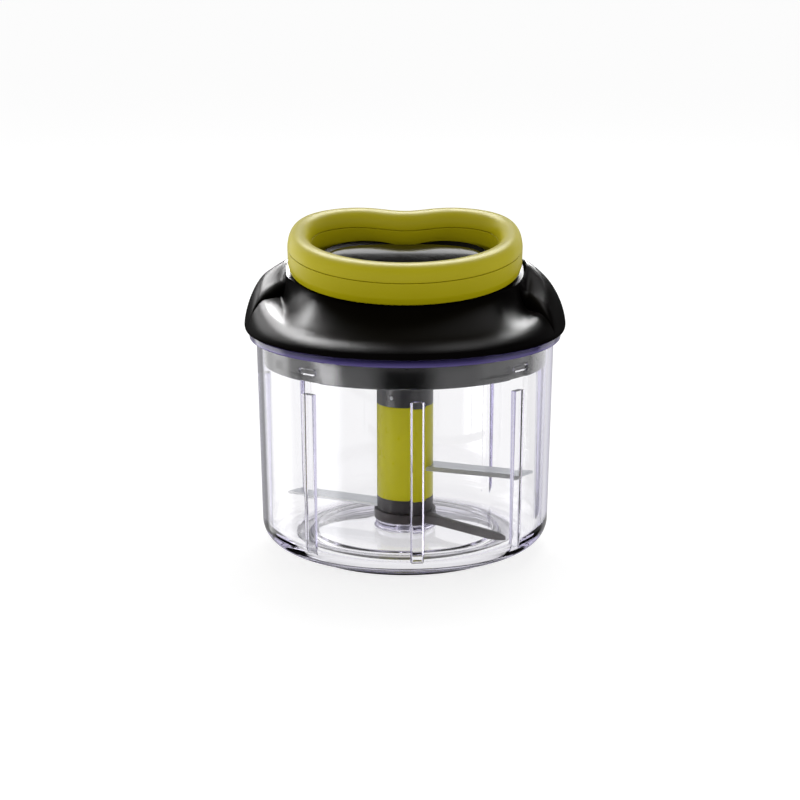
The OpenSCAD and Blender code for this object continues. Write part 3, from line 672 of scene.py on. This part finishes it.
# ---------------------------------------------------------------- CAD nodes that keep their meshes
finish = {
    "pivot_pin": pin_steel, "lid_seal": seal_rubber, "lid_base": skirt_dark, "bearing_plate": inner_dark, "plate_screws": pin_steel,
    "cord_eyelet": pin_steel, "cord_lead": cord_mat, "recoil_spring": spring_steel, "cord_drum": natural, "pawl_pins": pin_steel,
    "front_pawl": spring_steel, "rear_pawl": spring_steel, "drive_hub": inner_dark, "hub_clip": pin_steel, "shaft_core": charcoal,
    "shaft_cap": charcoal, "cap_pin": pin_end_glint_steel, "blade_collar": collar_dark, "pivot_bush": natural, "cord_knot": cord_mat,
}
edges = {"pivot_pin": 0.2, "lid_base": 0.25, "bearing_plate": 0.25, "drive_hub": 0.25, "shaft_cap": 0.3, "blade_collar": 0.25, "cord_drum": 0.2,
         "plate_screws": 0.12, "front_pawl": 0.15, "rear_pawl": 0.15}
for name, mat in finish.items():
    ob = nodes[name]
    ob.data.materials.clear()
    ob.data.materials.append(mat)
    ob.data.shade_smooth()
    w = ob.modifiers.new("weld", "WELD")
    w.merge_threshold = 0.000002
    if name in edges:
        b = ob.modifiers.new("edges", "BEVEL")
        b.width = edges[name] * 0.001
        b.segments = 2
        b.limit_method = "ANGLE"
        b.angle_limit = radians(40)
        b.use_clamp_overlap = True
    if name == "lid_base":
        continue
    wn = ob.modifiers.new("normals", "WEIGHTED_NORMAL")
    wn.keep_sharp = True

# ---------------------------------------------------------------- floor
me = bpy.data.meshes.new("floor")
me.from_pydata([(-6, -6, 0), (6, -6, 0), (6, 6, 0), (-6, 6, 0)], [], [(0, 1, 2, 3)])
floor = bpy.data.objects.new("floor", me)
scene.collection.objects.link(floor)
fm = bpy.data.materials.new("pale_floor")
fm.use_nodes = True
fp = fm.node_tree.nodes["Principled BSDF"]
fp.inputs["Base Color"].default_value = (0.5, 0.5, 0.5, 1)
fp.inputs["Roughness"].default_value = 0.9
fp.inputs["Specular IOR Level"].default_value = 0.0
fp.inputs["Emission Color"].default_value = (1, 1, 1, 1)
fp.inputs["Emission Strength"].default_value = 0.75
me.materials.append(fm)
floor.visible_glossy = False
floor.visible_diffuse = False
floor.visible_transmission = False

# ---------------------------------------------------------------- light
world = bpy.data.worlds.new("studio")
scene.world = world
world.use_nodes = True
wt = world.node_tree
bg = wt.nodes["Background"]
bg.inputs["Strength"].default_value = 1.0


def wmath(op, a, b=None):
    n = wt.nodes.new("ShaderNodeMath")
    n.operation = op
    for i, x in enumerate((a, b)):
        if x is None:
            continue
        if isinstance(x, (int, float)):
            n.inputs[i].default_value = x
        else:
            wt.links.new(x, n.inputs[i])
    return n.outputs[0]


def wrange(x, a, b):
    n = wt.nodes.new("ShaderNodeMapRange")
    n.interpolation_type = "SMOOTHSTEP"
    n.inputs["From Min"].default_value, n.inputs["From Max"].default_value = a, b
    wt.links.new(x, n.inputs["Value"])
    return n.outputs["Result"]


lp = wt.nodes.new("ShaderNodeLightPath")
tc = wt.nodes.new("ShaderNodeTexCoord")
sx = wt.nodes.new("ShaderNodeSeparateXYZ")
wt.links.new(tc.outputs["Generated"], sx.inputs[0])
az = wmath("MULTIPLY", wmath("ARCTAN2", sx.outputs["X"], sx.outputs["Y"]), 180 / pi)  # 0 behind the object, -90 left
el = wmath("MULTIPLY", wmath("ARCSINE", sx.outputs["Z"]), 180 / pi)
# soft boxes that glossy surfaces mirror: azimuth from, to, blur; elevation from, to, blur; strength
BOXES = [
    (-74, -42, 10, -16, 36, 8, 2.2),     # left, behind
    (-110, -74, 20, -16, 30, 10, 0.8),   # left
    (40, 60, 7, -12, 28, 8, 1.1),        # right, behind
    (80, 112, 16, -16, 26, 10, 0.5),     # right
    (-155, -112, 20, 12, 45, 14, 0.15),  # front left
    (122, 152, 14, 10, 36, 10, 0.2),     # front right
    (-40, 40, 12, 11, 34, 8, 0.85),      # backdrop
    (-40, 30, 10, -30, 9, 4, 0.45),      # backdrop, low
]
total = None
for a0, a1, sa, e0, e1, se, k in BOXES:
    w = wmath("MULTIPLY", wrange(az, a0 - sa, a0), wmath("SUBTRACT", 1.0, wrange(az, a1, a1 + sa)))
    w = wmath("MULTIPLY", w, wmath("MULTIPLY", wrange(el, e0 - se, e0), wmath("SUBTRACT", 1.0, wrange(el, e1, e1 + se))))
    w = wmath("MULTIPLY", w, k)
    total = w if total is None else wmath("ADD", total, w)
glossy = wmath("ADD", total, 0.02)


def wpick(flag, a, b):
    n = wt.nodes.new("ShaderNodeMix")
    n.data_type = "FLOAT"
    wt.links.new(flag, n.inputs[0])
    for i, x in ((2, a), (3, b)):
        if isinstance(x, (int, float)):
            n.inputs[i].default_value = x
        else:
            wt.links.new(x, n.inputs[i])
    return n.outputs[0]


in_bowl = wmath("GREATER_THAN", lp.outputs["Transmission Depth"], 0.5)
# what the clear bowl passes on after a reflection: the white table, dark straight in front and dim at the left behind
ahead = wmath("MULTIPLY", wrange(wmath("ABSOLUTE", az), 146, 170), wrange(el, -40, -28))
edge = wmath("MULTIPLY", wmath("MULTIPLY", wrange(az, -60, -46), wmath("SUBTRACT", 1.0, wrange(az, -8, -3))), wrange(el, -32, -22))
table = wmath("MULTIPLY", wmath("SUBTRACT", 0.95, wmath("MULTIPLY", ahead, 0.93)), wmath("SUBTRACT", 1.0, wmath("MULTIPLY", edge, 0.75)))
panel = wmath("MULTIPLY", wmath("MULTIPLY", wrange(az, -132, -120), wmath("SUBTRACT", 1.0, wrange(az, -112, -98))), wrange(el, -30, -20))
table = wmath("ADD", table, wmath("MULTIPLY", panel, 4.0))
below = wmath("SUBTRACT", 1.0, wrange(el, -4, 4))
# diffuse light comes from the sides, from behind and off the table, little of it from high in front
front = wmath("MULTIPLY", wrange(wmath("MULTIPLY", sx.outputs["Y"], -1.0), -0.25, 0.4), wrange(el, 6, 36))
diffuse = wmath("SUBTRACT", wmath("ADD", 0.84, wmath("MULTIPLY", in_bowl, 0.45)), wmath("MULTIPLY", sx.outputs["X"], 0.14))
diffuse = wmath("MULTIPLY", diffuse, wmath("SUBTRACT", 1.0, wmath("MULTIPLY", front, 0.92)))
diffuse = wmath("MULTIPLY", diffuse, wmath("SUBTRACT", 1.0, wmath("MULTIPLY", wrange(el, 35, 75), 0.55)))
lum = wpick(lp.outputs["Is Transmission Ray"], diffuse, 1.0)
above = wmath("MAXIMUM", glossy, 0.5)  # and a paler room than the opaque pieces mirror
lum = wpick(wmath("GREATER_THAN", lp.outputs["Glossy Depth"], 0.5), lum, wpick(in_bowl, glossy, wpick(below, above, table)))
lum = wpick(wmath("GREATER_THAN", lp.outputs["Diffuse Depth"], 0.5), lum, diffuse)
lum = wpick(lp.outputs["Is Camera Ray"], lum, 1.0)
cb = wt.nodes.new("ShaderNodeCombineColor")
for c in ("Red", "Green", "Blue"):
    wt.links.new(lum, cb.inputs[c])
wt.links.new(cb.outputs["Color"], bg.inputs["Color"])
world.cycles.sampling_method = "NONE"
scene.cycles.max_bounces = 24  # light turns many times inside the clear corners
scene.cycles.glossy_bounces = 16
scene.cycles.transmission_bounces = 24


def area(name, at_, to, size, power, colour=(1, 1, 1)):
    d = bpy.data.lights.new(name, "AREA")
    d.shape = "DISK"
    d.size = size
    d.energy = power
    d.color = colour
    ob = bpy.data.objects.new(name, d)
    scene.collection.objects.link(ob)
    ob.location = at_
    v_ = np.array(to, float) - np.array(at_, float)
    ob.rotation_euler = (atan2(sqrt(v_[0] ** 2 + v_[1] ** 2), -v_[2]), 0, atan2(-v_[0], v_[1]))
    ob.visible_camera = False
    ob.visible_glossy = False
    ob.visible_transmission = False
    return ob


area("side_left", (-0.95, -0.45, 0.22), (0, 0, 0.09), 0.5, 2.0)
area("side_right", (0.95, -0.45, 0.22), (0, 0, 0.09), 0.5, 2.0)
area("top_back", (0.1, 0.6, 1.1), (0, 0, 0.08), 0.9, 4.5)


def soft_box(name, az_, el_, wide, high, level, *lit, away=1.5, about=(0, 0, 0.11)):
    """A soft box that shines on the named pieces: its direction and angles seen from a point, how bright it looks."""
    d = bpy.data.lights.new(name, "AREA")
    d.shape = "RECTANGLE"
    d.size, d.size_y = 2 * away * tan(radians(wide / 2)), 2 * away * tan(radians(high / 2))
    d.energy = level * pi * d.size * d.size_y
    ob = bpy.data.objects.new(name, d)
    scene.collection.objects.link(ob)
    a, e = radians(az_), radians(el_)
    ob.location = (about[0] + away * sin(a) * cos(e), about[1] + away * cos(a) * cos(e), about[2] + away * sin(e))
    ob.rotation_euler = (pi / 2 - e, 0, pi - a)
    ob.visible_camera = False
    ob.visible_diffuse = False
    ob.visible_transmission = False
    group = bpy.data.collections.new("lit_by_" + name)
    for piece in lit:
        group.objects.link(bpy.data.objects[piece])
    ob.light_linking.receiver_collection = group
    return ob


soft_box("lid_left", 12, 30, 24, 14, 1250,"lid_cover_shell", away=0.1, about=(-0.055, -0.017, 0.107))
soft_box("lid_left_edge", -42, 31, 20, 22, 60, "lid_cover_shell", away=0.1, about=(-0.061, -0.020, 0.105))
soft_box("lid_left_back", -3, 60, 50, 20, 380,"lid_cover_shell", away=0.08, about=(-0.058, 0.002, 0.117))
soft_box("lid_right", 6, 28, 16, 12, 620,"lid_cover_shell", away=0.1, about=(0.052, -0.022, 0.105))
soft_box("lid_window_right", 24, 58, 28, 28, 20, "lid_cover_shell", away=0.1, about=(0.020, -0.045, 0.106))
soft_box("lid_window_left", -38, 60, 24, 14, 8, "lid_cover_shell")
soft_box("ring_high", 0, 72, 70, 36, 17.0, "handle_upper_shell", "handle_lower_shell")
soft_box("badge_high", 0, 34, 80, 19, 2.6, "badge_crown")

# ---------------------------------------------------------------- camera
cd = bpy.data.cameras.new("camera")
cam = bpy.data.objects.new("camera", cd)
scene.collection.objects.link(cam)
cam.location = (0, -0.850, 0.2688)
cam.rotation_euler = (radians(90 - 13.57), 0, 0)
cd.sensor_width = 36
cd.lens = 2008 * 1.008 * 36 / 800
cd.shift_x = -5 / 800
cd.shift_y = 1 / 800
cd.clip_start = 0.01
scene.camera = cam
scene.view_settings.view_transform = "Standard"
scene.view_settings.look = "None"
